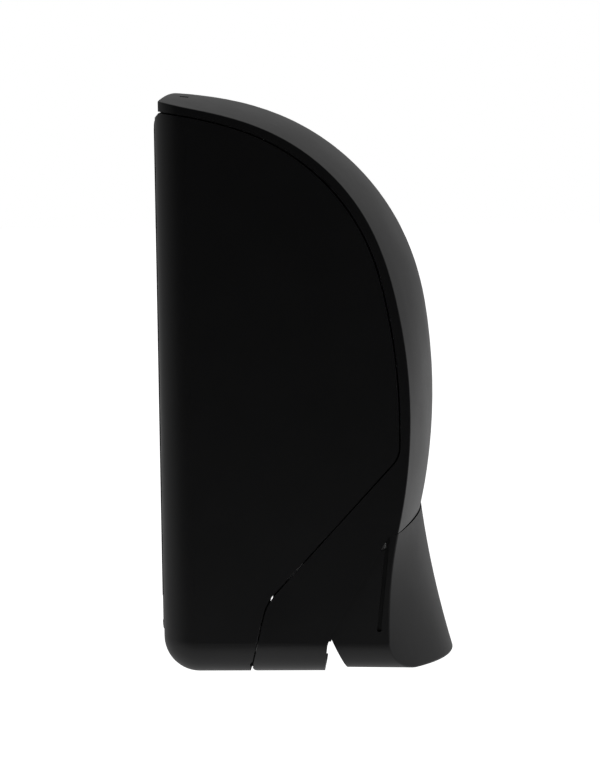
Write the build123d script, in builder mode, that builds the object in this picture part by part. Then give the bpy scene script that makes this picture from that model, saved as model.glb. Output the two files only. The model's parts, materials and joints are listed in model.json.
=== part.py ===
"""Wall-mounted soap dispenser with a hinged crowned cover, a push lever and a refill with a pump.

Frame: X is the width, the wall is the plane y = 0, the front faces -Y and +Z is up.
The origin is the centre of the wall screw pattern on the wall face of the wall plate.
Millimetres throughout. Side views are drawn as (depth from the wall, height above the underside).
"""

import os
from math import acos, atan2, cos, degrees, radians, sin, sqrt

from build123d import *

# ---- overall sizes ----
body_width = 125.0
body_depth = 128.7  # wall to the foremost point of the cover
body_height = 271.6  # underside to the top of the crown

# ---- shells ----
wall = 2.4  # housing and cover skin
skin = 2.2  # push lever skin
rear_face = 0.8  # the housing's rim stands this far off the wall
back_wall = 2.8
plate_thickness = 3.0
plate_clearance = 0.2
rim_width = 1.5  # housing rim around the recessed wall plate
edge_radius = 16.0  # upright rear edges and underside edges
heel_radius = 17.0  # underside to wall, in side view
seam_gap = 0.7
crease_round = 0.6

# ---- crown, crease and parting line, each three tangent arcs: radius, and slope where it ends ----
crown_arcs = ((262.0, 10.2), (115.0, 68.9), (138.5, 140.0))
crease_arcs = ((245.0, 16.9), (101.0, 70.3), (177.0, 140.0))
parting_arcs = ((267.0, 14.7), (98.6, 70.9), (172.0, 140.0))
crease_set_back = 9.6  # crown to crease at the front
crease_drop = 1.2  # crown to crease at the top
strip_front = 5.4  # cover's side strip, crease to parting line
strip_top = 4.4
parting_rear = 3.0  # depth of the cover's rear edge
flange_bevel = 2.5

# ---- lower end of the parting line and of the cover; set back from the foremost point, and height ----
parting_knee = 104.4  # height where the parting line turns towards the hinge
parting_heel_depth = 50.2
parting_heel_height = 34.9
parting_foot_depth = 41.7
knee_radius = 12.0
heel_bend_radius = 25.0
notch_foot_back = 51.5  # cover's front edge at the underside
notch_bend_back, notch_bend_height = 49.7, 14.5
notch_apex_back, notch_apex_height = 48.0, 19.5
seam_back, seam_height = 20.4, 66.3  # seam between cover and lever, seen from the side
seam_front_slope = 0.39

# ---- hinge ----
hinge_depth = 46.3
hinge_height = 3.2
knuckle_radius = 3.0
hinge_pin_radius = 1.25
pin_clearance = 0.05
hinge_relief = 4.5  # housing is cleared to this radius about the hinge
lug_inset = 29.5  # side of the body to the lug's inner face
lug_width = 6.0
lug_gap = 0.6
knuckle_width = 7.0

# ---- push lever ----
lever_side_gap = 0.6
lever_gap = 0.8
axle_radius = 2.5
cheek_over_axle = 1.8  # seam down to the top of the axle
cheek_before_axle = 1.1
paddle_front_back = 6.3  # set back of the paddle's middle at the seam
paddle_lean = 0.125
paddle_flare = 0.00115
paddle_edge_back = 20.6
paddle_edge_curve = 0.0023
paddle_edge_waist = 22.0
lever_heel_back, lever_heel_height = 40.6, 1.4
lever_toe_height = 0.6
lever_tuck = 4.5  # how far the cheek goes in behind the cover's edge
cheek_groove_width = 2.0
cheek_groove_depth = 1.4
groove_foot_back, groove_foot_height = 25.3, 21.6
groove_head_rise = 6.0
lever_edge_round = 1.0
axle_lug_inset = 9.5  # lever's side to the lug's inner face
axle_lug_width = 3.0
axle_lug_wall = 2.0
axle_lug_rise = 34.0  # axle to the lug's root in the crown

# ---- refill and pump, all on one upright axis ----
pump_depth = 62.0
bottle_wall = 1.3
bottle_clearance = 5.0
bottle_back = 19.5
bottle_bottom = 113.0
bottle_corner = 14.0
neck_radius = 13.0
neck_end = 88.0
bead_overhang = 4.0
bead_thickness = 2.0
shelf_height = 100.0
shelf_thickness = 3.0
shelf_inset = 22.5
shelf_before_pump = 22.0
cap_wall = 5.0
cap_height = 17.0
cap_floor = 2.0
gasket_thickness = 1.0
cylinder_wall = 1.5
cylinder_bore = 7.0
cylinder_length = 44.0
stem_radius = 4.0
stem_bore = 1.5
piston_height = 6.0
piston_clearance = 0.05
stem_clearance = 0.03
actuator_radius = 11.5
actuator_thickness = 2.7
nozzle_radius = 5.0
nozzle_tip_radius = 3.0
nozzle_end = 12.0
nozzle_taper = 12.0
inlet_ball_radius = 3.0
outlet_ball_radius = 1.8
pump_wire = 0.6
pump_coil_radius = 8.6

# ---- lever yoke ----
yoke_thickness = 3.0
yoke_drop = 7.6  # axle down to the top of the yoke's plate
nose_rise = 2.6  # round noses on the tines, which lift the flange at any tilt
nose_radius = 1.6
yoke_play = 0.3  # noses to actuator flange
fork_slot = 6.5
fork_half_width = 15.0
fork_back = 8.0  # tines reach this far behind the pump axis
rib_thickness = 2.5
rib_depth = 8.0

# ---- latch ----
key_slot_x = 16.0
key_slot_width = 6.0
key_slot_depth = 4.2
key_slot_centre = 12.0
catch_thickness = 2.5
catch_reach = 6.0
latch_gap = 0.4
latch_travel = 3.0
latch_half_width = 22.0
latch_nose = 4.0
guide_wall = 2.0
guide_height = 20.0
guide_rise = 11.0  # slider's foot to the top of its guide
latch_wire = 0.35
latch_coil_radius = 3.2

# ---- wall pattern and fasteners ----
wall_hole_inset = 26.5
wall_hole_low = 65.0  # underside up to the lower wall screws
wall_hole_drop = 56.6  # top of the crown down to the upper wall screws
wall_hole_radius = 2.6
access_radius = 5.5
screw_radius = 1.5
screw_head_radius = 3.0
screw_head = 1.8
head_round = 0.8
drive_size = 1.8
drive_width = 0.5
drive_depth = 1.0
thread_clearance = 0.02

os.makedirs("parts", exist_ok=True)

half = body_width / 2
wall_hole_x = 2 * (half - wall_hole_inset)
wall_hole_z = body_height - wall_hole_low - wall_hole_drop
mount_height = wall_hole_low + wall_hole_z / 2
inner_rear = plate_thickness + plate_clearance + back_wall
side_plane = Plane(origin=(0, 0, -mount_height), x_dir=(0, -1, 0), z_dir=(-1, 0, 0))

notch_foot_depth = body_depth - notch_foot_back
notch_bend = (body_depth - notch_bend_back, notch_bend_height)
notch_apex = (body_depth - notch_apex_back, notch_apex_height)
seam_side = (body_depth - seam_back, seam_height)
seam_level = seam_height + seam_front_slope * seam_back
pivot = (
    seam_side[0] - axle_radius - cheek_before_axle,
    seam_height - axle_radius - cheek_over_axle,
)
paddle_front_top = body_depth - paddle_front_back
paddle_edge_depth = body_depth - paddle_edge_back
lever_half = half - wall - lever_side_gap
# follows the inside of the cover's rounded underside
lever_under_radius = edge_radius - wall


def plan(height):
    """Level plane for (x, depth) drawings; extruding goes down."""
    return Plane(origin=(0, 0, height - mount_height), x_dir=(1, 0, 0), z_dir=(0, 0, -1))


def upright(depth):
    """Plane parallel to the wall for (x, height) drawings; extruding goes forward."""
    return Plane(origin=(0, -depth, -mount_height), x_dir=(1, 0, 0), z_dir=(0, -1, 0))


def across(x):
    """Side-view plane at one x; extruding goes towards -X."""
    return Plane(origin=(x, 0, -mount_height), x_dir=(0, -1, 0), z_dir=(-1, 0, 0))


def finish(part, name):
    part.label = name
    export_step(part, f"parts/{name}.step")


# ---- the three outline curves ----
def tangent_arcs(front, top, arcs):
    """Arcs as (centre depth, centre height, radius, slope at start, slope at end), front to rear."""
    (flank, a), (shoulder, b), (roof, c) = arcs
    belly = top - (flank - shoulder) * sin(radians(a)) - (shoulder - roof) * sin(radians(b)) - roof
    centre = (front - flank, belly)
    out = [(*centre, flank, -45.0, a)]
    for (before, slope), (radius, end) in zip(arcs, arcs[1:]):
        step = before - radius
        centre = (centre[0] + step * cos(radians(slope)), centre[1] + step * sin(radians(slope)))
        out.append((*centre, radius, slope, end))
    return out


def on_arc(arc, slope):
    depth, height, radius = arc[:3]
    return (depth + radius * cos(radians(slope)), height + radius * sin(radians(slope)))


def reach(arcs, pole, angle, inset):
    """Distance from the pole to the outline, drawn in by inset, along a ray."""
    ray = (cos(radians(angle)), sin(radians(angle)))
    for depth, height, radius, low, high in arcs:
        to_centre = (depth - pole[0], height - pole[1])
        along = to_centre[0] * ray[0] + to_centre[1] * ray[1]
        r = radius - inset
        distance = along + sqrt(r * r - to_centre[0] ** 2 - to_centre[1] ** 2 + along * along)
        hit = (pole[0] + distance * ray[0] - depth, pole[1] + distance * ray[1] - height)
        if low <= degrees(atan2(hit[1], hit[0])) <= high:
            return distance
    raise ValueError(f"no outline at {angle} degrees")


crown = tangent_arcs(body_depth, body_height, crown_arcs)
crease = tangent_arcs(body_depth - crease_set_back, body_height - crease_drop, crease_arcs)
parting = tangent_arcs(
    body_depth - crease_set_back - strip_front,
    body_height - crease_drop - strip_top,
    parting_arcs,
)


# ---- the crowned outer form, drawn in by any wall thickness ----
def crown_cutter(inset):
    """Everything outside the crowned front and top."""
    pole = (20.0, crown[0][1] - 10.0)
    reach_out = 90.0
    side_margin = 8.0
    first_angle, last_angle, sections = -32.0, 101.9, 14
    with BuildPart() as cutter:
        for step in range(sections):
            angle = first_angle + step * (last_angle - first_angle) / (sections - 1)
            middle = reach(crown, pole, angle, inset)
            rise = middle - reach(crease, pole, angle, inset)
            bend = (rise * rise + (half - inset) ** 2) / (2 * rise)
            edge = half + side_margin
            low = middle - bend + sqrt(bend * bend - edge * edge)
            ray = (0, -cos(radians(angle)), sin(radians(angle)))
            origin = (0, -pole[0], pole[1] - mount_height)
            normal = Vector(1, 0, 0).cross(Vector(*ray))
            with BuildSketch(Plane(origin=origin, x_dir=(1, 0, 0), z_dir=normal)):
                with BuildLine():
                    ThreePointArc((-edge, low), (0, middle), (edge, low))
                    far = middle + reach_out
                    Polyline((edge, low), (edge, far), (-edge, far), (-edge, low))
                make_face()
        loft()
    return cutter.part


def crowned_block(inset, rear):
    """Closed body: flat sides, rounded rear and underside edges, crowned front and top."""
    side = half - inset
    least_round = 0.3
    round_edge = max(edge_radius - inset, least_round)
    over_top = body_height + 10
    past_front = body_depth + 10
    with BuildPart() as block:
        with BuildSketch(side_plane):
            with BuildLine():
                FilletPolyline(
                    (rear, over_top),
                    (rear, inset),
                    (past_front, inset),
                    radius=heel_radius - inset,
                )
                Polyline((past_front, inset), (past_front, over_top), (rear, over_top))
            make_face()
        extrude(amount=side, both=True)
        sides = block.edges().filter_by(lambda e: abs(abs(e.center().X) - side) < 0.01)
        kept = sides.filter_by(
            lambda e: e.center().Y > -rear - heel_radius or e.center().Z < heel_radius - mount_height
        )
        fillet(kept, radius=round_edge)
        add(crown_cutter(inset), mode=Mode.SUBTRACT)
    return block.part


with BuildPart() as outer_form:
    add(crowned_block(0.0, rear_face))
    creases = outer_form.edges().filter_by(lambda e: abs(abs(e.center().X) - half) < 0.3)
    creases = creases.filter_by(lambda e: e.length > body_height / 2 and e.geom_type != GeomType.LINE)
    fillet(creases, radius=crease_round)
outer = outer_form.part
inner = crowned_block(wall, inner_rear)


# ---- side-view regions ----
def slope_at_depth(arc, depth):
    return degrees(acos((depth - arc[0]) / arc[2]))


def housing_outline(grow):
    """Face behind the parting line, in (depth, height), grown all round."""
    roof_slope = slope_at_depth(parting[2], parting_rear)
    start = on_arc(parting[2], roof_slope)
    belly = on_arc(parting[0], 0)
    with BuildSketch(Plane.XY) as outline:
        with BuildLine():
            top_edge = Line((-20, start[1]), start)
            for arc, high, low in (
                (parting[2], roof_slope, parting[2][3]),
                (parting[1], parting[1][4], parting[1][3]),
                (parting[0], parting[0][4], 0.0),
            ):
                ThreePointArc(on_arc(arc, high), on_arc(arc, (high + low) / 2), on_arc(arc, low))
            FilletPolyline(
                belly,
                (belly[0], parting_knee),
                (parting_heel_depth, parting_heel_height),
                (parting_foot_depth, -0.6),
                radius=(knee_radius, heel_bend_radius),
            )
            Polyline(
                (parting_foot_depth, -0.6),
                (parting_foot_depth, -20),
                (-20, -20),
                top_edge @ 0,
            )
        make_face()
        if grow:
            offset(amount=grow, kind=Kind.INTERSECTION)
    return outline.sketch


def knuckle_outline(radius):
    with BuildSketch(Plane.XY) as outline:
        with Locations((hinge_depth, hinge_height)):
            Circle(radius)
    return outline.sketch


beyond = 25.0  # how far open outlines run past the body


def lever_outline():
    """Face below the cover's lower edge, in (depth, height)."""
    front = body_depth + beyond
    rise = seam_front_slope * (front - seam_side[0])
    with BuildSketch(Plane.XY) as outline:
        with BuildLine():
            Polyline(
                (front, seam_height + rise),
                seam_side,
                notch_apex,
                notch_bend,
                (notch_foot_depth, 0),
                (notch_foot_depth, -beyond),
                (front, -beyond),
                (front, seam_height + rise),
            )
        make_face()
    return outline.sketch


# ---- front cover ----
outlet_half_width = 20.0
outlet_rear = pump_depth - 12.0
outlet_front = notch_foot_depth + 10.0
lug_inner = half - lug_inset
knuckle_inner = lug_inner + lug_width + lug_gap
lug_room = knuckle_radius + lug_gap
catch_depth = key_slot_centre - latch_nose / 2 - latch_gap - catch_thickness
shell_top = body_height - wall
catch_root = shell_top + 0.6  # the catch rib goes this far into the skin
catch_foot = shell_top - catch_reach
axle_lug_x = lever_half - axle_lug_inset
axle_lug_radius = axle_radius + axle_lug_wall

with BuildPart() as front_cover:
    add(outer)
    add(inner, mode=Mode.SUBTRACT)
    with BuildSketch(side_plane):
        with Locations((body_depth / 2, body_height / 2)):
            Rectangle(body_depth + 40, body_height + 40)
        add(housing_outline(seam_gap), mode=Mode.SUBTRACT)
        with Locations((parting_rear / 2 - 10, body_height)):
            Rectangle(parting_rear + 20, body_height, mode=Mode.SUBTRACT)
        add(lever_outline(), mode=Mode.SUBTRACT)
    extrude(amount=body_width, both=True, mode=Mode.INTERSECT)
    # catch rib that the latch stands behind
    with BuildSketch(upright(catch_depth)):
        with Locations((0, (catch_foot + catch_root) / 2)):
            Rectangle(2 * latch_half_width + 4, catch_root - catch_foot)
    extrude(amount=catch_thickness)
    # two slots for the key's prongs
    with BuildSketch(plan(body_height + 5)):
        with Locations((-key_slot_x, key_slot_centre), (key_slot_x, key_slot_centre)):
            Rectangle(key_slot_width, key_slot_depth)
    extrude(amount=12, mode=Mode.SUBTRACT)
    # way out for the soap under the nozzle
    with BuildSketch(plan(wall + 4)):
        with Locations((0, (outlet_rear + outlet_front) / 2)):
            RectangleRounded(2 * outlet_half_width, outlet_front - outlet_rear, 4)
    extrude(amount=12, mode=Mode.SUBTRACT)
    # hinge knuckles
    for x in (knuckle_inner + knuckle_width, -knuckle_inner):
        with BuildSketch(across(x)):
            add(knuckle_outline(knuckle_radius))
            with Locations((hinge_depth + 5, hinge_height)):
                Rectangle(10, 2 * knuckle_radius)
        extrude(amount=knuckle_width)
    # room for the housing's lugs, shut and open, and round lower corner about the hinge
    for x in (lug_inner + lug_width + lug_gap, -lug_inner + lug_gap):
        with BuildSketch(across(x)):
            add(knuckle_outline(lug_room))
            with Locations((hinge_depth - 5, hinge_height)):
                Rectangle(10, 2 * lug_room)
            with Locations((hinge_depth, hinge_height - 5)):
                Rectangle(2 * lug_room, 10)
        extrude(amount=lug_width + 2 * lug_gap, mode=Mode.SUBTRACT)
    with BuildSketch(side_plane):
        with Locations((hinge_depth - 5, hinge_height - 5)):
            Rectangle(10, 10)
        add(knuckle_outline(knuckle_radius), mode=Mode.SUBTRACT)
    extrude(amount=body_width, both=True, mode=Mode.SUBTRACT)
    with BuildSketch(side_plane):
        add(knuckle_outline(hinge_pin_radius + pin_clearance))
    extrude(amount=knuckle_inner + knuckle_width + 0.5, both=True, mode=Mode.SUBTRACT)

# lugs inside the cover that carry the lever's axle
with BuildPart() as axle_lugs:
    for x in (axle_lug_x + axle_lug_width, -axle_lug_x):
        with BuildSketch(across(x)):
            with BuildLine():
                Polyline(
                    (pivot[0] - axle_lug_radius, pivot[1]),
                    (pivot[0] - 14, pivot[1] + axle_lug_rise),
                    (pivot[0] + 24, pivot[1] + axle_lug_rise),
                    (seam_side[0] + 1.0, seam_height + 1.5),
                    (pivot[0] + axle_lug_radius, pivot[1]),
                    (pivot[0] - axle_lug_radius, pivot[1]),
                )
            make_face()
            with Locations(pivot):
                Circle(axle_lug_radius)
        extrude(amount=axle_lug_width)
    add(crowned_block(wall - 0.5, inner_rear), mode=Mode.INTERSECT)
with BuildPart() as finished_cover:
    add(front_cover.part)
    add(axle_lugs.part)
    with BuildSketch(side_plane):
        with Locations(pivot):
            Circle(axle_radius)
    extrude(amount=axle_lug_x + axle_lug_width + 1, both=True, mode=Mode.SUBTRACT)
finish(finished_cover.part, "front_cover")

# ---- rear housing ----
pocket_half = half - edge_radius - rim_width
pocket_low = heel_radius + rim_width
pocket_high = body_height - 10.0
pocket_corner = 5.0
housing_screw_x = wall_hole_x / 2 - access_radius - 0.5
housing_screw_low = 44.0
housing_screw_high = body_height - 37.6
housing_screw_places = [
    (x, h) for x in (-housing_screw_x, housing_screw_x) for h in (housing_screw_low, housing_screw_high)
]
shelf_half_width = half - shelf_inset
bracket_screw_x = shelf_half_width - 10.0
bracket_screw_low = shelf_height - 30.0
bracket_screw_high = shelf_height - 10.0
bracket_screw_places = [
    (x, h) for x in (-bracket_screw_x, bracket_screw_x) for h in (bracket_screw_low, bracket_screw_high)
]
nose_top = catch_foot - 0.5
guide_top = nose_top - latch_travel - 5.0
guide_bottom = guide_top - guide_height
guide_ear = 12.0
guide_screw_x = 21.0
guide_screw_height = guide_bottom + 1.3
guide_screw_places = [(-guide_screw_x, guide_screw_height), (guide_screw_x, guide_screw_height)]

with BuildPart() as rear_housing:
    add(outer)
    add(inner, mode=Mode.SUBTRACT)
    with BuildSketch(side_plane):
        add(housing_outline(0.0))
        with Locations((hinge_depth, hinge_height)):
            Circle(hinge_relief, mode=Mode.SUBTRACT)
        with BuildLine():
            rim_top = on_arc(parting[2], slope_at_depth(parting[2], parting_rear))[1]
            Polyline(
                (rear_face - 1, rim_top + 1),
                (rear_face - 1, rim_top - flange_bevel - 1),
                (rear_face + flange_bevel + 1, rim_top + 1),
                (rear_face - 1, rim_top + 1),
            )
        make_face(mode=Mode.SUBTRACT)
    extrude(amount=body_width, both=True, mode=Mode.INTERSECT)
    # recess for the wall plate
    with BuildSketch(upright(rear_face)):
        with Locations((0, (pocket_low + pocket_high) / 2)):
            RectangleRounded(2 * pocket_half, pocket_high - pocket_low, pocket_corner)
    extrude(amount=plate_thickness + plate_clearance - rear_face, mode=Mode.SUBTRACT)
    # access to the wall screws, and pilot holes
    with BuildSketch(upright(0)):
        with Locations((0, mount_height)):
            with GridLocations(wall_hole_x, wall_hole_z, 2, 2):
                Circle(access_radius)
        with Locations(*housing_screw_places, *bracket_screw_places, *guide_screw_places):
            Circle(screw_radius)
    extrude(amount=inner_rear + 1, mode=Mode.SUBTRACT)
    # hinge lugs
    for x in (lug_inner + lug_width, -lug_inner):
        with BuildSketch(across(x)):
            add(knuckle_outline(knuckle_radius))
            with Locations((hinge_depth - 7, hinge_height)):
                Rectangle(14, 2 * knuckle_radius)
        extrude(amount=lug_width)
    with BuildSketch(side_plane):
        add(knuckle_outline(hinge_pin_radius))
    extrude(amount=lug_inner + lug_width + 0.5, both=True, mode=Mode.SUBTRACT)
finish(rear_housing.part, "rear_housing")

# ---- wall plate ----
plate_gap = 0.5
finger_notch_height = 30.0  # where a tool lifts the plate out of the housing
plate_half = pocket_half - plate_gap
plate_low = pocket_low + plate_gap
plate_high = pocket_high - plate_gap
with BuildPart() as wall_plate:
    with BuildSketch(upright(0)):
        with Locations((0, (plate_low + plate_high) / 2)):
            RectangleRounded(2 * plate_half, plate_high - plate_low, pocket_corner)
        with Locations((-plate_half, finger_notch_height), (plate_half, finger_notch_height)):
            Rectangle(4, 12, mode=Mode.SUBTRACT)
        with Locations((0, mount_height)):
            with GridLocations(wall_hole_x, wall_hole_z, 2, 2):
                Circle(wall_hole_radius, mode=Mode.SUBTRACT)
        with Locations(*housing_screw_places):
            Circle(screw_radius, mode=Mode.SUBTRACT)
    extrude(amount=plate_thickness)
finish(wall_plate.part, "wall_plate")


def pan_screws(places, seat, length, name):
    """Pan-head screws with a cross drive, heads on the plane at depth seat, shanks to the rear."""
    with BuildPart() as screws:
        with BuildSketch(upright(seat)):
            with Locations(*places):
                Circle(screw_head_radius)
        extrude(amount=screw_head)
        rims = screws.faces().filter_by(Axis.Y).group_by(Axis.Y)[0].edges()
        fillet(rims, radius=head_round)
        with BuildSketch(upright(seat - length)):
            with Locations(*places):
                Circle(screw_radius - thread_clearance)
        extrude(amount=length)
        with BuildSketch(upright(seat + screw_head - drive_depth)):
            with Locations(*places):
                Rectangle(2 * drive_size, drive_width)
                Rectangle(drive_width, 2 * drive_size)
        extrude(amount=2 * drive_depth, mode=Mode.SUBTRACT)
    finish(screws.part, name)


pan_screws(housing_screw_places, inner_rear, inner_rear - 0.6, "housing_screws")

# ---- hinge pins ----
with BuildPart() as hinge_pins:
    for x in (knuckle_inner + knuckle_width - 0.5, -lug_inner - 0.5):
        with BuildSketch(across(x)):
            add(knuckle_outline(hinge_pin_radius))
        extrude(amount=knuckle_inner + knuckle_width - lug_inner - 1.0)
    chamfer(hinge_pins.edges().filter_by(GeomType.CIRCLE), length=0.25)
finish(hinge_pins.part, "hinge_pins")

# ---- refill bracket ----
flange_thickness = 2.5
bracket_low = shelf_height - 38.0
gusset_thickness = 2.5
shelf_front = pump_depth + shelf_before_pump
neck_slot = neck_radius + 1.0
shelf_top = shelf_height + shelf_thickness
with BuildPart() as refill_bracket:
    with BuildSketch(upright(inner_rear)):
        with Locations((0, (bracket_low + shelf_top) / 2)):
            RectangleRounded(2 * shelf_half_width, shelf_top - bracket_low, 3)
    extrude(amount=flange_thickness)
    with BuildSketch(plan(shelf_top)):
        with Locations((0, (inner_rear + shelf_front) / 2)):
            RectangleRounded(2 * shelf_half_width, shelf_front - inner_rear, 3)
        with Locations((0, pump_depth)):
            Circle(neck_slot, mode=Mode.SUBTRACT)
        with Locations((0, pump_depth + shelf_before_pump / 2)):
            Rectangle(2 * neck_slot, shelf_before_pump + 1, mode=Mode.SUBTRACT)
    extrude(amount=shelf_thickness)
    for x in (shelf_half_width, -shelf_half_width + gusset_thickness):
        with BuildSketch(across(x)):
            with BuildLine():
                Polyline(
                    (inner_rear + 1, shelf_height + 1),
                    (shelf_front - 5, shelf_height + 1),
                    (inner_rear + 1, bracket_low + 4),
                    (inner_rear + 1, shelf_height + 1),
                )
            make_face()
        extrude(amount=gusset_thickness)
    with BuildSketch(upright(0)):
        with Locations(*bracket_screw_places):
            Circle(screw_radius)
    extrude(amount=inner_rear + flange_thickness + 1, mode=Mode.SUBTRACT)
finish(refill_bracket.part, "refill_bracket")
pan_screws(bracket_screw_places, inner_rear + flange_thickness, flange_thickness + back_wall, "bracket_screws")

# ---- refill bottle ----
pump_axis = (0, pump_depth)
HANG = (Align.CENTER, Align.CENTER, Align.MAX)


def on_pump(height):
    return (0, -pump_depth, height - mount_height)


def post(top, bottom, radius, mode=Mode.ADD):
    """Round bar on the pump axis between two heights."""
    with Locations(on_pump(top)):
        Cylinder(radius, top - bottom, align=HANG, mode=mode)


def bottle_form(inset, bottom):
    block = crowned_block(wall + bottle_clearance + inset, bottle_back + inset)
    with BuildPart() as form:
        with BuildSketch(plan(body_height)):
            with Locations((0, (bottle_back + body_depth) / 2)):
                RectangleRounded(
                    body_width - 2 * (wall + bottle_clearance + inset),
                    body_depth - bottle_back - 2 * inset,
                    bottle_corner - inset,
                )
        extrude(amount=body_height - bottom)
        add(block, mode=Mode.INTERSECT)
        fillet(form.faces().sort_by(Axis.Z)[0].edges(), radius=6.0 - inset)
    return form.part


bottle_outside = bottle_form(0.0, bottle_bottom)
bottle_inside = bottle_form(bottle_wall, bottle_bottom + bottle_wall)
bead_bottom = shelf_top + 0.2
bead_radius = neck_radius + bead_overhang
neck_wall = 2.0
neck_overlap = 5.0  # how far the neck runs up into the bottle
with BuildPart() as refill_bottle:
    add(bottle_outside)
    post(bottle_bottom + neck_overlap, neck_end, neck_radius)
    post(bead_bottom + bead_thickness, bead_bottom, bead_radius)
    add(bottle_inside, mode=Mode.SUBTRACT)
    post(bottle_bottom + neck_overlap + 1, neck_end, neck_radius - neck_wall, Mode.SUBTRACT)
finish(refill_bottle.part, "refill_bottle")

# ---- closure: cap, gasket, pump cylinder ----
cap_top = shelf_height - 1.0
cap_bottom = cap_top - cap_height
cap_radius = neck_radius + cap_wall
cylinder_radius = cylinder_bore + cylinder_wall
flange_top = neck_end - gasket_thickness
flange_bottom = cap_bottom + cap_floor
cap_ribs = 36
with BuildPart() as bottle_cap:
    post(cap_top, cap_bottom, cap_radius)
    chamfer(bottle_cap.faces().sort_by(Axis.Z)[0].edges(), length=1.2)
    post(cap_top, flange_bottom, neck_radius + pin_clearance, Mode.SUBTRACT)
    post(flange_bottom, cap_bottom, stem_radius + 0.4, Mode.SUBTRACT)
    with Locations(on_pump(cap_top - 2.0)):
        with PolarLocations(cap_radius, cap_ribs):
            Cylinder(0.45, cap_height - 4.5, align=HANG, mode=Mode.SUBTRACT)
finish(bottle_cap.part, "bottle_cap")

with BuildPart() as neck_gasket:
    post(neck_end, flange_top, neck_radius - 0.2)
    post(neck_end, flange_top, cylinder_radius + 0.1, Mode.SUBTRACT)
finish(neck_gasket.part, "neck_gasket")

cylinder_top = flange_bottom + cylinder_length
seat_thickness = 2.0
seat_hole = inlet_ball_radius - 0.8
lip_height = 1.5  # the piston's lower stop
with BuildPart() as pump_cylinder:
    post(cylinder_top, flange_bottom, cylinder_radius)
    post(flange_top, flange_bottom, neck_radius - 0.2)
    post(cylinder_top - seat_thickness, flange_bottom + lip_height, cylinder_bore, Mode.SUBTRACT)
    post(cylinder_top, cylinder_top - seat_thickness, seat_hole, Mode.SUBTRACT)
    post(flange_bottom + lip_height, flange_bottom, stem_radius + 0.6, Mode.SUBTRACT)
finish(pump_cylinder.part, "pump_cylinder")

# inlet ball in its seat, and the cage ring that keeps it there
ball_drop = sqrt(inlet_ball_radius**2 - seat_hole**2) + 0.1
inlet_ball_height = cylinder_top - seat_thickness - ball_drop
with BuildPart() as inlet_ball:
    with Locations(on_pump(inlet_ball_height)):
        Sphere(inlet_ball_radius)
finish(inlet_ball.part, "inlet_ball")

cage_top = inlet_ball_height - inlet_ball_radius - 0.6
cage_thickness = 1.6
with BuildPart() as ball_cage:
    post(cage_top, cage_top - cage_thickness, cylinder_bore)
    post(cage_top, cage_top - cage_thickness, 1.8, Mode.SUBTRACT)
    with Locations(on_pump(cage_top)):
        with PolarLocations(4.3, 5):
            Cylinder(1.0, cage_thickness, align=HANG, mode=Mode.SUBTRACT)
finish(ball_cage.part, "ball_cage")

# ---- piston, stem and nozzle ----
yoke_top = pivot[1] - yoke_drop
actuator_bottom = yoke_top + nose_rise + yoke_play
actuator_top = actuator_bottom + actuator_thickness
piston_bottom = flange_bottom + lip_height + 0.5
piston_top = piston_bottom + piston_height
socket_depth = 8.0
socket_end = actuator_bottom - socket_depth
seal_land = 1.5
seal_depth = 0.9
with BuildPart() as pump_piston:
    post(piston_top, piston_bottom, cylinder_bore - piston_clearance)
    post(piston_top - seal_land, piston_bottom + seal_land, cylinder_bore + 1, Mode.SUBTRACT)
    post(piston_top - seal_land, piston_bottom + seal_land, cylinder_bore - seal_depth)
    post(piston_bottom, socket_end, stem_radius)
    post(piston_top, socket_end, stem_bore, Mode.SUBTRACT)
finish(pump_piston.part, "pump_piston")

with BuildPart() as piston_seal:
    post(piston_top - seal_land, piston_bottom + seal_land, cylinder_bore - piston_clearance)
    fillet(piston_seal.edges().filter_by(GeomType.CIRCLE), radius=0.5)
    post(piston_top, piston_bottom, cylinder_bore - seal_depth, Mode.SUBTRACT)
finish(piston_seal.part, "piston_seal")

valve_chamber = 4.6
outlet_ball_play = 0.5
chamber_top = socket_end
chamber_radius = outlet_ball_radius + outlet_ball_play
with BuildPart() as pump_nozzle:
    post(actuator_top, actuator_bottom, actuator_radius)
    fillet(pump_nozzle.edges().filter_by(GeomType.CIRCLE), radius=0.6)
    post(actuator_bottom, nozzle_end + nozzle_taper, nozzle_radius)
    with Locations(on_pump(nozzle_end + nozzle_taper / 2)):
        Cone(nozzle_tip_radius, nozzle_radius, nozzle_taper)
    post(actuator_top, socket_end, stem_radius + stem_clearance, Mode.SUBTRACT)
    post(chamber_top, chamber_top - valve_chamber, chamber_radius, Mode.SUBTRACT)
    post(chamber_top, nozzle_end, stem_bore, Mode.SUBTRACT)
finish(pump_nozzle.part, "pump_nozzle")

ball_rest = sqrt(outlet_ball_radius**2 - stem_bore**2) + 0.05
with BuildPart() as outlet_ball:
    with Locations(on_pump(chamber_top - valve_chamber + ball_rest)):
        Sphere(outlet_ball_radius)
finish(outlet_ball.part, "outlet_ball")


def coil_spring(radius, wire, low, high, turns, x, depth, name):
    """Compression spring on an upright axis."""
    with BuildPart() as spring:
        with BuildLine(Plane(origin=(x, -depth, low + wire + 0.15 - mount_height))) as line:
            rise = high - low - 2 * wire - 0.3
            coil = Helix(pitch=rise / turns, height=rise, radius=radius)
        with BuildSketch(Plane(origin=line.line @ 0, z_dir=line.line % 0)):
            Circle(wire)
        sweep(path=line.line, is_frenet=True)
    finish(spring.part, name)


coil_spring(pump_coil_radius, pump_wire, actuator_top, cap_bottom, 5, 0, pump_depth, "pump_spring")

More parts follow.
